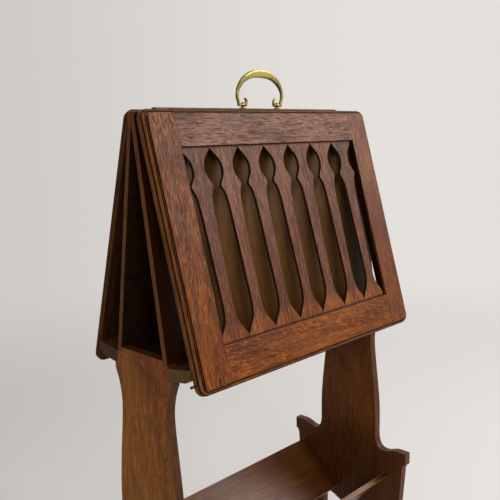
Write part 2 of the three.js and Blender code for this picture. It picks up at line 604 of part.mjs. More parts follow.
// The pieces of one flap, in a group that leans with it; local Y goes back from the face
function buildFlap(side, where) {
  const flap = new THREE.Group();
  flap.position.set(0, -FLAP_OFF, FLAP_TOP_Z);
  flap.rotation.x = -FLAP_LEAN;
  where.add(flap);
  const frame = flapFrame();
  const far = FLAP_W / 2 + BAND_OUT + 1;
  const join0 = OPENING_W / 2;
  const bottom = slatTop - OPENING_H;
  const tenonY = [TENON_AT, TENON_AT + TENON_T];
  const topTenon = [slatTop + SLAT_HOUSED + 2, -TENON_SHOULDER];
  const lowTenon = [-FLAP_H + TENON_SHOULDER, bottom - SLAT_HOUSED - 2];
  const groove = [TENON_AT - GAP / 2, TENON_AT + SLAT_T + GAP / 2];
  for (const [end, sign] of [['left', -1], ['right', 1]]) {
    const span = (a, b) => [sign * a, sign * b].sort((p, q) => p - q);
    const body = span(join0, far);
    const slot = span(join0 - 1, join0 + TENON_L + GAP);
    const pinHole = span(FLAP_W / 2 + BAND_OUT - CATCH_IN - GAP, far + 1);
    let stile = frame.intersect(solid(block(
      body[0], body[1], -1, FLAP_T + 1, -FLAP_H - BAND_OUT - 1, BAND_OUT + 1)));
    for (const tenon of [topTenon, lowTenon]) {
      stile = cut(stile, solid(block(
        slot[0], slot[1], tenonY[0] - FIT, tenonY[1] + FIT, tenon[0] - GAP, tenon[1] + GAP)));
    }
    if (sign < 0) {
      stile = cut(stile, solid(
        barX(CATCH_R + RUN, pinHole[0], pinHole[1], CATCH_DEEP, CATCH_UP - FLAP_H)));
    }
    piece(flap, `${side}_flap_${end}_stile`, skin(stile), OAK);
  }
  const railEnd = join0 - GAP;
  const tenonEnd = join0 + TENON_L;
  let topRail = frame.intersect(solid(block(
    -railEnd, railEnd, -1, FLAP_T + 1, slatTop - 1, BAND_OUT + 1)));
  topRail = join(topRail, solid(block(
    -tenonEnd, tenonEnd, tenonY[0], tenonY[1], topTenon[0], topTenon[1])));
  topRail = cut(topRail, solid(block(
    -railEnd - 1, railEnd + 1, groove[0], groove[1], slatTop - 1, slatTop + SLAT_HOUSED + GAP)));
  for (const [, x] of hinges) topRail = cut(topRail, ...railHinge(x));
  piece(flap, `${side}_flap_top_rail`, skin(topRail), OAK);
  let lowRail = frame.intersect(solid(block(
    -railEnd, railEnd, -1, FLAP_T + 1, -FLAP_H - BAND_OUT - 1, bottom + 1)));
  lowRail = join(lowRail, solid(block(
    -tenonEnd, tenonEnd, tenonY[0], tenonY[1], lowTenon[0], lowTenon[1])));
  lowRail = cut(lowRail, solid(block(
    -railEnd - 1, railEnd + 1, groove[0], groove[1], bottom - SLAT_HOUSED - GAP, bottom + 1)));
  piece(flap, `${side}_flap_bottom_rail`, skin(lowRail), OAK);
  for (let i = 0; i < SLATS; i += 1) {
    const slat = alongY(slatShape, TENON_AT, TENON_AT + SLAT_T);
    const mesh = piece(flap, `${side}_flap_slat_${i + 1}`, slat, OAK_SLAT);
    mesh.position.x = (i - (SLATS - 1) / 2) * slatPitch;
  }
  for (const [end, x] of hinges) {
    const leaf = piece(flap, `${side}_${end}_hinge_flap_leaf`, skin(movingLeaf()), BRASS);
    leaf.position.x = x;
  }
  const catchOut = -FLAP_W / 2 - BAND_OUT - CATCH_OUT;
  const catchIn = -FLAP_W / 2 - BAND_OUT + CATCH_IN;
  piece(flap, `${side}_flap_catch_pin`,
    barX(CATCH_R, catchOut, catchIn, CATCH_DEEP, CATCH_UP - FLAP_H), STEEL);
}

// Divider of one side, mitred to the other at the ridge and let in for the hinges
function buildDivider(side, where) {
  const foot = SEAT_Z + GAP;
  const mitreZ = RIDGE_Z - (DIVIDER_T / Math.cos(DIVIDER_LEAN) - DIVIDER_TOP_HALF + GAP / 2)
    / Math.tan(DIVIDER_LEAN);
  const outline = polygon([
    [-GAP / 2, RIDGE_Z],
    [-DIVIDER_TOP_HALF, RIDGE_Z],
    [-outerHalf(foot), foot],
    [-innerHalf(foot), foot],
    [-GAP / 2, mitreZ],
  ]);
  const turned = side === 'back';
  const x0 = -LENGTH / 2 + (turned ? DIVIDER_SHORT : 0);
  const x1 = LENGTH / 2 - (turned ? 0 : DIVIDER_SHORT);
  let board = solid(alongX(outline, x0, x1));
  for (const [end, x] of hinges) {
    const recess = block(
      x - half - FIT, x + half + FIT, -2, LEAF_T + FIT, hingeZ - LEAF_H - FIT, 3);
    board = cut(board, solid(placed(recess, -DIVIDER_TOP_HALF, RIDGE_Z, -DIVIDER_LEAN)));
    const leaf = piece(where, `${side}_${end}_hinge_ridge_leaf`, skin(fixedLeaf()), BRASS);
    leaf.position.set(x, -DIVIDER_TOP_HALF, RIDGE_Z);
    leaf.rotation.x = -DIVIDER_LEAN;
    const pin = barX(HINGE_PIN_R, x - half, x + half, axisY, axisZ);
    piece(where, `${side}_${end}_hinge_pin`, pin, BRASS);
  }
  piece(where, `${side}_divider`, skin(board), OAK_DARK);
}

// Ledge of one side: square to the divider, reaching out to the hanging flap, rounded below
function buildLedge(side, where) {
  const inZ = SEAT_Z - LEDGE_DROP;
  const inY = outerHalf(inZ) + GAP_Y;
  const backOfFlap = FLAP_OFF + (FLAP_TOP_Z - inZ) * Math.tan(FLAP_LEAN) - FLAP_T / cosF;
  const width = (backOfFlap - LEDGE_SET - inY)
    / (Math.cos(DIVIDER_LEAN) + Math.sin(DIVIDER_LEAN) * Math.tan(FLAP_LEAN));
  const round = LEDGE_T - LEDGE_LIP;
  const outline = new THREE.Shape();
  outline.moveTo(0, 0);
  outline.lineTo(0, -LEDGE_T);
  outline.lineTo(-width + round, -LEDGE_T);
  outline.absarc(-width + round, -LEDGE_LIP, round, -Math.PI / 2, -Math.PI, true);
  outline.lineTo(-width, 0);
  const ledge = piece(where, `${side}_ledge`, alongX(outline, -LENGTH / 2, LENGTH / 2, 6), OAK_DARK);
  ledge.position.set(0, -inY, inZ);
  ledge.rotation.x = -DIVIDER_LEAN;
}

// The front and the back are the same, turned half round
for (const [side, turn] of [['front', 0], ['back', Math.PI]]) {
  const where = new THREE.Group();
  where.rotation.z = turn;
  stand.add(where);
  buildDivider(side, where);
  buildLedge(side, where);
  buildFlap(side, where);
}

export default stand;
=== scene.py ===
"""Looks of the double-sided oak atlas stand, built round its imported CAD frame."""

import math

import bpy
from mathutils import Matrix, Vector


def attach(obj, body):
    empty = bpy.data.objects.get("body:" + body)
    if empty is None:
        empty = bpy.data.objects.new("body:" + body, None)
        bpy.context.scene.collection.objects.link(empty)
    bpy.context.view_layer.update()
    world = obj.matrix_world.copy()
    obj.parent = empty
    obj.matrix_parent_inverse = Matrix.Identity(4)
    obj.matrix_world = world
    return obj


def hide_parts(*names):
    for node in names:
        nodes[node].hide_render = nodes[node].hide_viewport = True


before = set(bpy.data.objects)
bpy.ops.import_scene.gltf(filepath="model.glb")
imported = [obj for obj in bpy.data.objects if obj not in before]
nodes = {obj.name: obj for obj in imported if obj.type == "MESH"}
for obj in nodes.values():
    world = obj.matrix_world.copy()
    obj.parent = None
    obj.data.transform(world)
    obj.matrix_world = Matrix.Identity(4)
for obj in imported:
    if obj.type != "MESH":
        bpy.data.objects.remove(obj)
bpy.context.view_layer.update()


# End supports: two sawn and shaped oak planks, quarter-sawn so that the rays show as
# golden flecks, stained dark and waxed. Their arrises are eased by hand and worn paler.
def tone(code):
    """A colour written as six hex digits, as the linear values that a shader takes."""
    parts = [int(code[i:i + 2], 16) / 255 for i in (0, 2, 4)]
    linear = [p / 12.92 if p <= 0.04045 else ((p + 0.055) / 1.055) ** 2.4 for p in parts]
    return (*linear, 1)


def stretched_noise(tree, vector, scale, detail, distortion, turn=(0, 0, 0)):
    """Noise drawn out along the grain; scale is in waves per metre across, through and along it."""
    mapping = tree.nodes.new("ShaderNodeMapping")
    mapping.vector_type = "TEXTURE"
    mapping.inputs["Scale"].default_value = [1 / waves for waves in scale]
    mapping.inputs["Rotation"].default_value = turn
    noise = tree.nodes.new("ShaderNodeTexNoise")
    noise.inputs["Scale"].default_value = 1
    noise.inputs["Detail"].default_value = detail
    noise.inputs["Distortion"].default_value = distortion
    tree.links.new(vector, mapping.inputs["Vector"])
    tree.links.new(mapping.outputs["Vector"], noise.inputs["Vector"])
    return noise.outputs["Fac"]


def spread(tree, value, low, high):
    """Stretches the part of a value between low and high over 0 to 1."""
    ramp = tree.nodes.new("ShaderNodeMapRange")
    ramp.interpolation_type = "SMOOTHSTEP"
    ramp.inputs["From Min"].default_value = low
    ramp.inputs["From Max"].default_value = high
    tree.links.new(value, ramp.inputs["Value"])
    return ramp.outputs["Result"]


def connect(tree, sockets, items):
    """Fills a node's sockets in turn, each with a link or with a plain value."""
    for socket, item in zip(sockets, items):
        if isinstance(item, (int, float, tuple)):
            socket.default_value = item
        else:
            tree.links.new(item, socket)


def arithmetic(tree, operation, *items):
    """Up to three values or numbers joined by a Math node."""
    node = tree.nodes.new("ShaderNodeMath")
    node.operation = operation
    connect(tree, node.inputs, items)
    return node.outputs["Value"]


def blended(tree, mode, factor, first, second):
    """Two colours mixed by a factor; each may be a socket or a plain value."""
    node = tree.nodes.new("ShaderNodeMix")
    node.data_type = "RGBA"
    node.blend_type = mode
    connect(tree, (node.inputs[0], node.inputs[6], node.inputs[7]), (factor, first, second))
    return node.outputs[2]


def joined(tree, operation, first, second):
    """Two vectors, or a vector and a triple of numbers, joined by a Vector Math node."""
    node = tree.nodes.new("ShaderNodeVectorMath")
    node.operation = operation
    connect(tree, node.inputs, (first, second))
    return node.outputs["Vector"]


def level_along(tree, vector, way):
    """How far a place lies along a way."""
    node = tree.nodes.new("ShaderNodeVectorMath")
    node.operation = "DOT_PRODUCT"
    connect(tree, node.inputs, (vector, tuple(way)))
    return node.outputs["Value"]


def swayed(tree, vector, scale, reach):
    """A sideways shift in slow waves, up to half of reach either way."""
    wave = stretched_noise(tree, vector, scale, 1, 0).node.outputs["Color"]
    return joined(tree, "MULTIPLY", joined(tree, "SUBTRACT", wave, (0.5, 0.5, 0.5)), reach)


def new_group(name, takes, gives):
    """A shader group with named sockets; returns it with what it is given and what it makes."""
    group = bpy.data.node_groups.new(name, "ShaderNodeTree")
    for way, sockets in (("INPUT", takes), ("OUTPUT", gives)):
        for socket, kind in sockets:
            group.interface.new_socket(socket, in_out=way, socket_type="NodeSocket" + kind)
    given = group.nodes.new("NodeGroupInput").outputs
    made = group.nodes.new("NodeGroupOutput").inputs
    return group, given, made


def build_oak_grain():
    """Shader group for quarter-sawn oak; the vector's Z runs along the grain."""
    group, given, made = new_group(
        "quartered_oak",
        (
            ("Vector", "Vector"), ("Dark", "Color"), ("Mid", "Color"), ("Pale", "Color"),
            ("Fleck", "Float"), ("Pores", "Float"), ("Dirt", "Float"), ("Gloss", "Float"),
        ),
        (("Color", "Color"), ("Roughness", "Float"), ("Height", "Float")),
    )
    # The tree never grew quite straight, so the grain wanders a few millimetres.
    wander = swayed(group, given["Vector"], (5, 5, 4), (0.02, 0.02, 0))
    ripple = swayed(group, given["Vector"], (34, 34, 26), (0.007, 0.007, 0))
    way = joined(group, "ADD", joined(group, "ADD", given["Vector"], wander), ripple)
    # Year rings, fibres, and pores as short dark dashes.
    broad = spread(group, stretched_noise(group, way, (40, 40, 1.2), 2, 0.4), 0.3, 0.7)
    lines = spread(group, stretched_noise(group, way, (300, 300, 16), 4, 0.7), 0.4, 0.6)
    fibres = stretched_noise(group, way, (1000, 1000, 24), 3, 0)
    pores = spread(group, stretched_noise(group, way, (560, 560, 34), 3, 0.3), 0.52, 0.61)
    pores = arithmetic(group, "MULTIPLY", pores, given["Pores"])
    # Rays: silky scales that cross the grain at a slant, thick in places and thin in others.
    slant = math.radians(11)
    scales = stretched_noise(group, way, (400, 400, 42), 3, 0.8, (slant, slant, 0))
    patches = stretched_noise(group, way, (22, 22, 12), 2, 0.5)
    rays = spread(group, arithmetic(group, "MULTIPLY_ADD", patches, 0.5, scales), 0.72, 1.02)
    flecks = arithmetic(group, "MULTIPLY", rays, given["Fleck"])
    clouds = spread(group, stretched_noise(group, way, (18, 18, 5), 2, 0.5), 0.45, 0.8)
    cloudy = arithmetic(group, "MULTIPLY", given["Fleck"], 0.6)
    clouds = arithmetic(group, "MULTIPLY", clouds, cloudy)
    grime_and_shade = spread(group, stretched_noise(group, way, (14, 14, 9), 4, 0.6), 0.48, 0.75)
    grime_and_shade = arithmetic(group, "MULTIPLY", grime_and_shade, given["Dirt"])
    # Colour, from the wood itself out to the dirt on it.
    ringed = arithmetic(group, "MULTIPLY", broad, 0.35)
    depth = arithmetic(group, "MULTIPLY_ADD", lines, 0.65, ringed)
    tint = blended(group, "MIX", depth, given["Dark"], given["Mid"])
    tint = blended(group, "MIX", clouds, tint, given["Pale"])
    tint = blended(group, "MIX", flecks, tint, given["Pale"])
    tint = blended(group, "MULTIPLY", pores, tint, (0.3, 0.24, 0.2, 1))
    tint = blended(group, "MULTIPLY", grime_and_shade, tint, (0.5, 0.42, 0.36, 1))
    group.links.new(tint, made["Color"])
    # Flecks shine, while pores and dirt are dull.
    gloss = arithmetic(group, "MULTIPLY_ADD", fibres, 0.2, given["Gloss"])
    gloss = arithmetic(group, "MULTIPLY_ADD", flecks, -0.12, gloss)
    gloss = arithmetic(group, "MULTIPLY_ADD", pores, 0.2, gloss)
    gloss = arithmetic(group, "MULTIPLY_ADD", grime_and_shade, 0.15, gloss)
    group.links.new(gloss, made["Roughness"])
    height = arithmetic(group, "SUBTRACT", arithmetic(group, "MULTIPLY", fibres, 0.5), pores)
    height = arithmetic(group, "MULTIPLY_ADD", lines, 0.5, height)
    group.links.new(height, made["Height"])
    return group


oak_grain = build_oak_grain()
oak_pieces = []


def oak(
    name, dark, mid, pale,
    turn=(0, 0, 0), fleck=0.35, pores=0.6, dirt=0.35, gloss=0.32, shine=0.17,
):
    """An oak finish for one board; turn brings the board's length to Z, shine is its wax."""
    material = bpy.data.materials.new(name)
    material.use_nodes = True
    tree = material.node_tree
    shader = tree.nodes["Principled BSDF"]
    shader.inputs["Specular IOR Level"].default_value = shine
    place = tree.nodes.new("ShaderNodeTexCoord")
    mapping = tree.nodes.new("ShaderNodeMapping")
    mapping.inputs["Rotation"].default_value = turn
    # Every board is cut from another place in the tree.
    oak_pieces.append(name)
    step = len(oak_pieces)
    mapping.inputs["Location"].default_value = (0.37 * step, 0.21 * step, 0.53 * step)
    grain = tree.nodes.new("ShaderNodeGroup")
    grain.node_tree = oak_grain
    for socket, code in (("Dark", dark), ("Mid", mid), ("Pale", pale)):
        grain.inputs[socket].default_value = tone(code)
    for socket, amount in (("Fleck", fleck), ("Pores", pores), ("Dirt", dirt), ("Gloss", gloss)):
        grain.inputs[socket].default_value = amount
    relief = tree.nodes.new("ShaderNodeBump")
    relief.inputs["Strength"].default_value = 0.3
    relief.inputs["Distance"].default_value = 0.0004
    tree.links.new(place.outputs["Object"], mapping.inputs["Vector"])
    tree.links.new(mapping.outputs["Vector"], grain.inputs["Vector"])
    tree.links.new(grain.outputs["Color"], shader.inputs["Base Color"])
    tree.links.new(grain.outputs["Roughness"], shader.inputs["Roughness"])
    tree.links.new(grain.outputs["Height"], relief.inputs["Height"])
    tree.links.new(relief.outputs["Normal"], shader.inputs["Normal"])
    return material


def tinted(material, way, bare, full, tint_colour):
    """Multiplies a board's colour by a tint that starts at level bare and is whole at level full."""
    tree = material.node_tree
    place = tree.nodes["Texture Coordinate"].outputs["Object"]
    base = tree.nodes["Principled BSDF"].inputs["Base Color"]
    wood = base.links[0].from_socket
    deep = spread(tree, level_along(tree, place, way), bare, full)
    tree.links.new(blended(tree, "MULTIPLY", deep, wood, (*tint_colour, 1)), base)


def copied(node, ending, flat_within=0):
    """A bare copy of a CAD piece, its triangles joined; those flat within an angle become one face."""
    piece = bpy.data.objects.new(node + ending, nodes[node].data.copy())
    bpy.context.scene.collection.objects.link(piece)
    bpy.ops.object.select_all(action="DESELECT")
    piece.select_set(True)
    bpy.context.view_layer.objects.active = piece
    bpy.ops.object.mode_set(mode="EDIT")
    bpy.ops.mesh.select_all(action="SELECT")
    bpy.ops.mesh.remove_doubles(threshold=1e-6)
    if flat_within:
        bpy.ops.mesh.dissolve_limited(angle_limit=flat_within)
    bpy.ops.object.mode_set(mode="OBJECT")
    piece.data.materials.clear()
    return piece


def fitted(piece, node, body):
    """Lets a finished piece ride on its body in place of its CAD node."""
    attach(piece, body)
    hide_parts(node)
    return piece


def eased_board(node, body, finish, worn, ease, trim=None):
    """A copy of a CAD board with its arrises rounded by a plane; worn is the paler wood there."""
    board = copied(node, "_board", flat_within=math.radians(0.4))
    if trim:
        trim(board.data)
    board.data.materials.append(finish)
    board.data.materials.append(worn)
    arris = board.modifiers.new("arris", "BEVEL")
    arris.width = ease
    arris.segments = 2
    arris.limit_method = "ANGLE"
    arris.angle_limit = math.radians(40)
    arris.material = len(board.data.materials) - 1
    bpy.ops.object.modifier_apply(modifier=arris.name)
    bpy.ops.object.shade_smooth_by_angle(angle=math.radians(50))
    flat = board.modifiers.new("flat", "WEIGHTED_NORMAL")
    flat.keep_sharp = True
    bpy.ops.object.modifier_apply(modifier=flat.name)
    return fitted(board, node, body)


def on_faces(piece, finish, chosen):
    """Gives a finish to the faces of a piece that chosen picks."""
    if finish.name not in piece.data.materials:
        piece.data.materials.append(finish)
    for face in piece.data.polygons:
        if chosen(face):
            face.material_index = piece.data.materials.find(finish.name)


# A face lies square to a way if its normal's share along the way is over square_to, and runs
# along the way if that share is under runs_along.
square_to, runs_along = 0.9, 0.1
up = Vector((0, 0, 1))
# The right plank's darker tones are painted shade.
support_oak = {"left": ("6a3b13", "985c1f", "d6973e"), "right": ("4d280e", "683a15", "8a5820")}
# Heights where the painted shade, with some dust, on the head and the painted shade low down begin and
# are whole.
head_shade_from, head_shade_to = 0.4, 0.53
low_shade_from, low_shade_to = 0.34, 0.25
for end in ("left", "right"):
    plank = oak(
        end + "_support_oak", *support_oak[end], fleck=0.4, pores=0.25, dirt=0.55, shine=0.12)
    arris = oak(end + "_support_arris", "633a1a", "8c5728", "ab7538", pores=0.3, dirt=0.2)
    sawn = oak(end + "_support_edge", "3a1e0c", "5a3217", "774a24", pores=0.4, dirt=0.4)
    # The head is painted darker just under the flaps: painted shade, with some dust.
    tinted(plank, up, head_shade_from, head_shade_to, (0.88, 0.8, 0.88))
    if end == "right":
        # Painted shade darkens its lower part, round and below the trough.
        tinted(plank, up, low_shade_from, low_shade_to, (0.6, 0.58, 0.7))
    support = eased_board(end + "_support", "stand", plank, arris, ease=0.0009)
    on_faces(support, sawn, lambda face: abs(face.normal.x) < runs_along)

# Platform board and its pegs: a flat oak board between the supports, held by round pegs
# driven through the planks; their sawn end grain shows as reddish discs on the outer faces.
along_x = (0, math.radians(90), 0)
# Its very dark colour is painted shade, deep between the dividers.
board = oak("platform_oak", "180c05", "2a170a", "3a2210", turn=along_x, gloss=0.5, shine=0.05)
eased_board("platform_board", "stand", board, board, ease=0.0006)
peg_oak = ("73321a", "9e5235", "b86c46")
for end in ("left", "right"):
    for row in ("front", "middle", "back"):
        peg = oak(f"{end}_{row}_peg_oak", *peg_oak, turn=along_x, fleck=0.1, pores=0.2)
        eased_board(f"{end}_{row}_peg", "stand", peg, peg, ease=0.0004)

# Dividers: two thin oak boards leaning together, mitred at the ridge and standing on the
# supports' shoulders. Their inner sides are painted nearly black: painted shade.
ridge_shade_from, ridge_shade_to = 0.8, 0.86
end_shade_from, end_shade_to = 0.155, 0.22
for side, outwards in (("front", -1), ("back", 1)):
    name = side + "_divider"
    sheet = oak(
        name + "_oak", "4a2c07", "5c380c", "6e4512", fleck=0.1, pores=0.15, shine=0.12)
    edge = oak(name + "_edge", "4a2a11", "704320", "8f5e30", pores=0.3, shine=0.08)
    # Painted shade on the inner sides.
    shaded_inside = oak(
        name + "_inside", "180b05", "281508", "39220f", turn=along_x, fleck=0.1, shine=0.08)
    # The open ends and the strip below the ridge are painted dark: painted shade.
    tinted(sheet, up, ridge_shade_from, ridge_shade_to, (0.4, 0.36, 0.55))
    for end in (-1, 1):
        tinted(sheet, (end, 0, 0), end_shade_from, end_shade_to, (0.2, 0.13, 0.08))
    divider = eased_board(name, "stand", sheet, edge, ease=0.0006)
    on_faces(divider, edge, lambda face: abs(face.normal.x) > square_to)
    on_faces(divider, shaded_inside, lambda face: -face.normal.y * outwards > square_to)

# Ledges: square oak strips glued to the platform's bevelled edges, tilted to keep the
# folios in, with a large quarter round worked along the lower outer edge.
# The back ledge's end is painted darker than the front's: painted shade.
ledge_end = {"front": ("563c20", "6b4d2b", "7a5e38"), "back": ("3d2616", "503421", "5f412a")}
for side in ("front", "back"):
    strip = oak(side + "_ledge_oak", "38200e", "573417", "785026", turn=along_x)
    lip = oak(side + "_ledge_arris", "533218", "784c26", "976a38", turn=along_x)
    cut = oak(
        side + "_ledge_end", *ledge_end[side], turn=along_x, fleck=0, pores=0, shine=0.08)
    ledge = eased_board(side + "_ledge", "stand", strip, lip, ease=0.0009)
    on_faces(ledge, cut, lambda face: abs(face.normal.x) > square_to)

# Book trough: two thin oak boards let into grooves in the supports, square to each other,
# with an open slot below; books have polished them.
corner_from, corner_to = 0.2, 0.24
for side in ("front", "back"):
    slope = oak(
        f"trough_{side}_oak", "4a280b", "6c3d14", "8c5a26",
        turn=along_x, fleck=0.1, pores=0.12, gloss=0.26, shine=0.3)
    # Darker towards each end, at the supports.
    for end in (-1, 1):
        tinted(slope, (end, 0, 0), corner_from, corner_to, (0.4, 0.36, 0.34))
    lip = oak(f"trough_{side}_arris", "6b4524", "946438", "b88a58", turn=along_x, pores=0.3)
    eased_board(f"trough_{side}_board", "stand", slope, lip, ease=0.001)

# Ridge cap: a narrow oak strip with its upper edges rounded, glued along the ridge over the
# mitred dividers and bored for the handle's posts.
cap = oak("ridge_cap_oak", "452c16", "70502c", "947248", turn=along_x)
eased_board("ridge_cap", "stand", cap, cap, ease=0.0004)

# Flap frames: stiles and rails tenoned together, with a quirk, an ovolo and a flat band
# worked round the outer edge. Quarter-sawn oak, stained reddish brown and waxed. The quirk,
# the groove before the band, the edges at the opening and the backs have painted shade.
flap_lean = math.radians(16)
flap_top = {"front": Vector((0, -0.025, 0.906)), "back": Vector((0, 0.025, 0.906))}
# The ways up along a flap and back into it from its face, and its turn about X.
rise, run = math.cos(flap_lean), math.sin(flap_lean)
flap_up = {"front": Vector((0, run, rise)), "back": Vector((0, -run, rise))}
flap_in = {"front": Vector((0, rise, -run)), "back": Vector((0, -rise, -run))}
flap_turn = {"front": flap_lean, "back": -flap_lean}
# The frame's face and the opening for the slats: half widths, and how far down each begins and ends.
face_half, face_begins, face_ends = 0.2475, 0.0005, 0.3875
opening_half, opening_begins, opening_ends = 0.2015, 0.045, 0.346
# The moulding, counted back from the face; slack takes in the eased arrises.
quirk_from, quirk_deep, groove_at, band_at, slack = 0.0004, 0.0025, 0.0064, 0.008, 0.0003
# A normal's share along the way into a flap, for faces at its back and for its edges.
flap_back, flap_edge = 0.95, 0.3
# Lower on the frame the colour is painted warmer: painted warm light.
frame_light, frame_light_from, frame_light_to = (1.2, 1.13, 0.8), 0.13, 0.34
# The back flap's moulding is painted darker than the front's: painted shade.
moulded = {"front": ("4c2c15", "7a4c28", "a26d3f"), "back": ("38220d", "573715", "734d20")}
# The quirks and the edges at the opening are painted nearly black: painted shade.
quirk_shade = {"stile": ("140a05", "241208", "331c0e"), "rail": ("35200f", "4e3017", "613e20")}


def behind(face, side):
    """How far a face lies behind the front of its flap."""
    return (face.center - flap_top[side]).dot(flap_in[side])


def on_moulding(face, side):
    """Whether a face lies past the edges of the front of its flap."""
    down = (flap_top[side] - face.center).dot(flap_up[side])
    return abs(face.center.x) > face_half or not face_begins <= down <= face_ends


def in_quirk(face, side):
    """Whether a face is in the quirk or in the groove before the band."""
    deep = behind(face, side)
    quirk = quirk_from < deep < quirk_deep + slack
    groove = groove_at < deep < band_at + slack
    return on_moulding(face, side) and (quirk or groove)


def is_edge(face, side):
    """Whether a face looks along its flap, as a sawn or planed edge does."""
    return abs(face.normal.dot(flap_in[side])) < flap_edge


def is_back(face, side):
    """Whether a face looks back into the stand."""
    return face.normal.dot(flap_in[side]) > flap_back


def in_opening(face, side):
    """Whether a face lies at the opening that the slats fill."""
    down = (flap_top[side].z - face.center.z) / rise
    return abs(face.center.x) < opening_half and opening_begins < down < opening_ends


for side in ("front", "back"):
    upright = (flap_turn[side], 0, 0)
    level = (flap_turn[side], math.radians(90), 0)
    top = flap_top[side].dot(flap_up[side])
    for place, kind, turn, pores, fleck, wax in (
        ("left", "stile", upright, 0.65, 0.6, 0.13), ("right", "stile", upright, 0.45, 0.5, 0.16),
        ("top", "rail", level, 0.7, 0.45, 0.19), ("bottom", "rail", level, 0.4, 0.7, 0.12),
    ):
        node = f"{side}_flap_{place}_{kind}"
        wood = oak(
            node + "_oak", "3f1d08", "703a14", "a8642c",
            turn=turn, fleck=fleck, pores=pores, shine=wax)
        # Painted warm light lower down, on all but the top rail.
        if place != "top":
            tinted(wood, flap_up[side], top - frame_light_from, top - frame_light_to, frame_light)
        worn = oak(node + "_arris", "542c13", "7e4822", "9c6236", turn=turn, pores=0.5)
        # The next two finishes are painted shade: one for the quirks, the groove and the edges at the
        # opening, one for the backs.
        grime_and_shade = oak(node + "_quirk", *quirk_shade[kind], turn=turn, gloss=0.5, shine=0.05)
        shaded_inside = oak(node + "_inside", "201007", "3a2010", "4d2f18", turn=turn, fleck=0.1)
        moulding = oak(
            node + "_moulding", *moulded[side],
            turn=turn, fleck=0.2, pores=0.4, gloss=0.6, shine=0.06)
        member = eased_board(node, side + "_flap", wood, worn, ease=0.0007)
        on_faces(member, grime_and_shade, lambda face: is_edge(face, side) and in_opening(face, side))
        if kind == "stile":
            on_faces(
                member, moulding,
                lambda face: on_moulding(face, side) and behind(face, side) > quirk_deep)
        on_faces(member, shaded_inside, lambda face: is_back(face, side))
        on_faces(member, grime_and_shade, lambda face: in_quirk(face, side))

# Slats: thin oak boards sawn to a flame outline and housed in grooves in the rails, so that
# the gaps between neighbours make the pierced pattern. Edges and backs have painted shade.
mm = 0.001
# How far down the flap the saw line begins and the slats meet the bottom rail.
saw_top, slat_foot = 0.0487, 0.3363
# Heights above the foot where the painted shade at the rail and the painted warm light begin and are
# whole.
foot_shade_from, foot_shade_to = 0.0036, 0.0014
foot_light_from, foot_light_to = 0.036, 0.006
# Where the saw went, in mm down from saw_top: the level as drawn, the level as cut, and how
# much wider the gap is there on each side.
saw_line = (
    (3, 2.2, 0), (7.37, 6.5, -2.05), (12.98, 12.5, -1.6), (19.42, 18.6, -0.3), (26.23, 26, 0.75),
    (33, 34.7, 1), (40.34, 43, 0.45), (46.84, 48.5, -0.2), (52.62, 53, -0.5), (57.8, 56.8, -0.2),
    (62.5, 60.3, 0.2), (67.6, 63.5, 1.3), (74.3, 68.5, 2), (83, 76, 1.6), (94.3, 88, 0.9),
    (108.5, 105, 0.8), (130.3, 130, 1.2), (156.2, 156, 1.1), (183.1, 183, 0.8), (208.4, 210, 0.4),
    (229, 231, -0.2), (239.7, 245.2, 0), (250.2, 256.7, 0), (260.5, 263.7, 0.3),
    (270.8, 272.2, -0.15), (281, 282.5, 0),
)
same_level = 0.5


def resawn(side):
    """Brings a slat's outline to the round bulbs, sharp necks and blunt flames of the real one."""
    def trim(mesh):
        across = [corner.co.x for corner in mesh.vertices]
        middle = (min(across) + max(across)) / 2
        for corner in mesh.vertices:
            level = ((flap_top[side] - corner.co).dot(flap_up[side]) - saw_top) / mm
            drawn, cut, wider = min(saw_line, key=lambda mark: abs(mark[0] - level))
            if abs(drawn - level) < same_level:
                corner.co -= flap_up[side] * (cut - drawn) * mm
                corner.co.x -= wider * mm * math.copysign(1, corner.co.x - middle)
    return trim


for side in ("front", "back"):
    upright = (flap_turn[side], 0, 0)
    foot = flap_top[side].dot(flap_up[side]) - slat_foot
    for number in range(1, 8):
        node = f"{side}_flap_slat_{number}"
        wood = oak(
            node + "_oak", "3d1c0c", "6b391c", "965d38",
            turn=upright, fleck=0.5, pores=0.5, shine=0.14)
        worn = oak(node + "_arris", "462515", "6c3e22", "8a5836", turn=upright, pores=0.4)
        # Painted shade for the sawn edges and the backs.
        sawn = oak(node + "_edge", "1a0d06", "30190c", "452715", turn=upright, gloss=0.5)
        # The foot has painted warm light, down to a line of painted shade at the rail.
        tinted(wood, flap_up[side], foot + foot_shade_from, foot + foot_shade_to, (0.25, 0.2, 0.17))
        tinted(wood, flap_up[side], foot + foot_light_from, foot + foot_light_to, (1.8, 1.6, 0.9))
        slat = eased_board(
            node, side + "_flap", wood, worn, ease=0.0005, trim=resawn(side))
        on_faces(slat, sawn, lambda face: is_edge(face, side) or is_back(face, side))


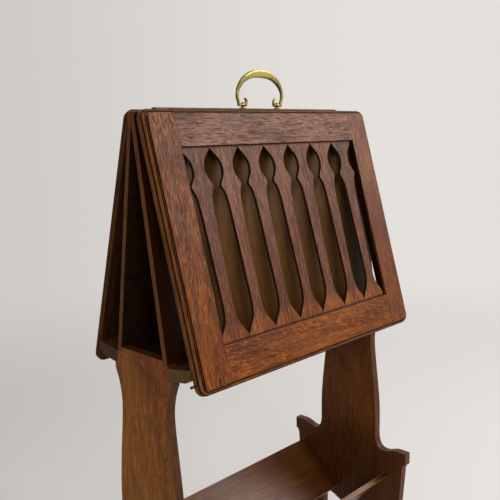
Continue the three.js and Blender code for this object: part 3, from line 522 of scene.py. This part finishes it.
# Handle and its posts: cast and turned brass, tarnished in patches, with painted shade and dark
# reflections on the rims and undersides. The handle's ends pass through the balls of the posts and
# curl up.
def build_tarnish_and_shade():
    """Shader group for old metal: tarnished in patches, darker on rims and undersides as painted shade
    and reflection.
    """
    group, given, made = new_group(
        "aged_brass",
        (("Vector", "Vector"), ("Facing", "Vector"), ("Bright", "Color"), ("Dull", "Color")),
        (("Color", "Color"), ("Roughness", "Float")),
    )
    place = given["Vector"]
    patches = spread(group, stretched_noise(group, place, (55, 55, 55), 3, 0.4), 0.35, 0.7)
    specks = spread(group, stretched_noise(group, place, (420, 420, 420), 3, 0), 0.5, 0.75)
    apart = group.nodes.new("ShaderNodeSeparateXYZ")
    group.links.new(given["Facing"], apart.inputs[0])
    # Painted shade and reflection: darker on the rims and on faces that look down.
    rim_shade = spread(group, arithmetic(group, "ABSOLUTE", apart.outputs["Y"]), 0.8, 0.1)
    under_shade = spread(group, apart.outputs["Z"], 0.2, -0.9)
    tarnish_and_shade = arithmetic(group, "MULTIPLY", arithmetic(group, "ADD", rim_shade, under_shade), 0.42)
    tarnish_and_shade = arithmetic(group, "MULTIPLY_ADD", patches, 0.34, tarnish_and_shade)
    tarnish_and_shade = arithmetic(group, "MULTIPLY_ADD", specks, 0.1, tarnish_and_shade)
    tarnish_and_shade = arithmetic(group, "MINIMUM", tarnish_and_shade, 1)
    tint = blended(group, "MIX", tarnish_and_shade, given["Bright"], given["Dull"])
    group.links.new(tint, made["Color"])
    group.links.new(arithmetic(group, "MULTIPLY_ADD", tarnish_and_shade, 0.22, 0.26), made["Roughness"])
    return group


tarnish_and_shade = build_tarnish_and_shade()


def old_metal(name, bright, dull):
    """A bare metal finish, tarnished in patches and with painted shade by facing."""
    material = bpy.data.materials.new(name)
    material.use_nodes = True
    tree = material.node_tree
    shader = tree.nodes["Principled BSDF"]
    shader.inputs["Metallic"].default_value = 1
    place = tree.nodes.new("ShaderNodeTexCoord")
    wear = tree.nodes.new("ShaderNodeGroup")
    wear.node_tree = tarnish_and_shade
    wear.inputs["Bright"].default_value = tone(bright)
    wear.inputs["Dull"].default_value = tone(dull)
    tree.links.new(place.outputs["Object"], wear.inputs["Vector"])
    tree.links.new(place.outputs["Normal"], wear.inputs["Facing"])
    tree.links.new(wear.outputs["Color"], shader.inputs["Base Color"])
    tree.links.new(wear.outputs["Roughness"], shader.inputs["Roughness"])
    return material


def cast_piece(node, body, finish, grain_size, rounds):
    """A copy of a CAD casting with its edges flowed soft, as a sand casting comes filed."""
    casting = copied(node, "_casting")
    casting.data.materials.append(finish)
    fill = casting.modifiers.new("fill", "REMESH")
    fill.mode = "VOXEL"
    fill.voxel_size = grain_size
    bpy.ops.object.modifier_apply(modifier=fill.name)
    filed = casting.modifiers.new("filed", "SMOOTH")
    filed.factor = 0.5
    filed.iterations = rounds
    bpy.ops.object.modifier_apply(modifier=filed.name)
    bpy.ops.object.shade_smooth()
    return fitted(casting, node, body)


handle_brass = old_metal("handle_brass", "a29250", "2c240d")
cast_piece("handle_bail", "handle", handle_brass, grain_size=0.0005, rounds=14)
for end in ("left", "right"):
    cast_piece(end + "_handle_post", "stand", handle_brass, grain_size=0.0003, rounds=4)


# Hinges and catch pins: small drawn brass butts let into the flaps and, at the ridge, into
# the dividers, and a short blackened steel pin driven low into one side of each flap.
def finished(node, finish):
    """Gives a CAD piece that is used as it is its finish."""
    nodes[node].data.materials.clear()
    nodes[node].data.materials.append(finish)


hinge_brass = old_metal("hinge_brass", "a98e4a", "54431c")
black_steel = old_metal("catch_pin_black", "2a2826", "141312")
for side in ("front", "back"):
    for end in ("left", "right"):
        for part in ("ridge_leaf", "flap_leaf", "pin"):
            finished(f"{side}_{end}_hinge_{part}", hinge_brass)
    finished(side + "_flap_catch_pin", black_steel)


# Room: a plain pale floor that fades into an even pale surround, one soft lamp to the
# right of the camera, one to the left of it and a weaker one behind the stand.
def seen(tree):
    """1 for what the camera sees, also in a reflection or through glass, and 0 for other light."""
    rays = tree.nodes.new("ShaderNodeLightPath").outputs
    direct = arithmetic(tree, "MAXIMUM", rays["Is Camera Ray"], rays["Is Glossy Ray"])
    return arithmetic(tree, "MAXIMUM", direct, rays["Is Transmission Ray"])


surround = tone("e4e0dc")
shaded_wall = tone("cbc7c4")
# The camera's right; to the eye, floor and wall grow brighter that way.
room_right = Vector((0.672, -0.741, 0))
floor_dim, floor_bright, floor_glow = -1.1, 0, 0.2
wall_dim, wall_bright, fill_light = -0.5, 0.15, 0.22
floor_size, floor_drop = 14, 0.0005
fade_from, fade_to = 1.0, 3.0
bpy.ops.object.select_all(action="DESELECT")
bpy.ops.mesh.primitive_plane_add(size=floor_size, location=(0, 0, -floor_drop))
floor = bpy.context.object
floor.name = "floor"
pale = bpy.data.materials.new("pale_floor")
pale.use_nodes = True
tree = pale.node_tree
paint = tree.nodes["Principled BSDF"]
paint.inputs["Base Color"].default_value = tone("dad6d2")
paint.inputs["Roughness"].default_value = 0.9
paint.inputs["Specular IOR Level"].default_value = 0.1
place = tree.nodes.new("ShaderNodeTexCoord").outputs["Object"]
bright = spread(tree, level_along(tree, place, room_right), floor_dim, floor_bright)
bright = arithmetic(tree, "MULTIPLY", bright, floor_glow)
glow = tree.nodes.new("ShaderNodeEmission")
glow.inputs["Color"].default_value = surround
tree.links.new(arithmetic(tree, "MULTIPLY", seen(tree), bright), glow.inputs["Strength"])
lit = tree.nodes.new("ShaderNodeAddShader")
tree.links.new(paint.outputs["BSDF"], lit.inputs[0])
tree.links.new(glow.outputs["Emission"], lit.inputs[1])
far = tree.nodes.new("ShaderNodeVectorMath")
far.operation = "LENGTH"
tree.links.new(place, far.inputs[0])
clear = tree.nodes.new("ShaderNodeBsdfTransparent")
fade = tree.nodes.new("ShaderNodeMixShader")
tree.links.new(spread(tree, far.outputs["Value"], fade_from, fade_to), fade.inputs[0])
tree.links.new(lit.outputs["Shader"], fade.inputs[1])
tree.links.new(clear.outputs["BSDF"], fade.inputs[2])
tree.links.new(fade.outputs["Shader"], tree.nodes["Material Output"].inputs["Surface"])
floor.data.materials.append(pale)

scene = bpy.context.scene
scene.view_settings.view_transform = "Standard"
world = bpy.data.worlds.new("surround")
scene.world = world
world.use_nodes = True
tree = world.node_tree
fill = tree.nodes["Background"]
fill.inputs["Color"].default_value = surround
fill.inputs["Strength"].default_value = fill_light
wall = tree.nodes.new("ShaderNodeBackground")
direction = tree.nodes.new("ShaderNodeTexCoord").outputs["Generated"]
bright = spread(tree, level_along(tree, direction, room_right), wall_dim, wall_bright)
tree.links.new(blended(tree, "MIX", bright, shaded_wall, surround), wall.inputs["Color"])
either = tree.nodes.new("ShaderNodeMixShader")
tree.links.new(seen(tree), either.inputs[0])
tree.links.new(fill.outputs["Background"], either.inputs[1])
tree.links.new(wall.outputs["Background"], either.inputs[2])
tree.links.new(either.outputs["Shader"], tree.nodes["World Output"].inputs["Surface"])

for name, spot, aim, size, power, sheen in (
    ("right_lamp", (2.05, -1.98, 2.2), (0, 0, 0.6), 1.4, 77, 1),
    ("left_lamp", (-1.7, -2.4, 1.9), (0, 0, 0.5), 1.4, 46, 1),
    ("back_lamp", (0.9, 2.9, 2.2), (0, 0, 0.6), 1.8, 34, 0.2),
):
    light = bpy.data.lights.new(name, "AREA")
    light.size = size
    light.energy = power
    light.specular_factor = sheen
    lamp = bpy.data.objects.new(name, light)
    scene.collection.objects.link(lamp)
    lamp.location = spot
    lamp.rotation_euler = (Vector(aim) - Vector(spot)).to_track_quat("-Z", "Y").to_euler()

# Camera: where the photograph was taken from, found from the edges of the flap, dividers,
# supports and trough. The lens is shifted, because its centre lies right of the picture's.
camera_place = Vector((-0.8561, -0.8278, 0.8898))
yaw, pitch, roll = math.radians(47.81), math.radians(10.07), math.radians(-0.53)
focal_px, photo_px, centre_x_px = 713.0, 500, 285
ahead = Vector((
    math.sin(yaw) * math.cos(pitch), math.cos(yaw) * math.cos(pitch), -math.sin(pitch)))
level_right = Vector((math.cos(yaw), -math.sin(yaw), 0))
level_up = level_right.cross(ahead)
camera_right = math.cos(roll) * level_right + math.sin(roll) * level_up
camera_up = math.cos(roll) * level_up - math.sin(roll) * level_right
lens = bpy.data.cameras.new("photo_camera")
lens.sensor_width = 36
lens.lens = focal_px / photo_px * lens.sensor_width
lens.shift_x = (photo_px / 2 - centre_x_px) / photo_px
camera = bpy.data.objects.new("photo_camera", lens)
scene.collection.objects.link(camera)
camera.matrix_world = Matrix((camera_right, camera_up, -ahead)).transposed().to_4x4()
camera.location = camera_place
scene.camera = camera
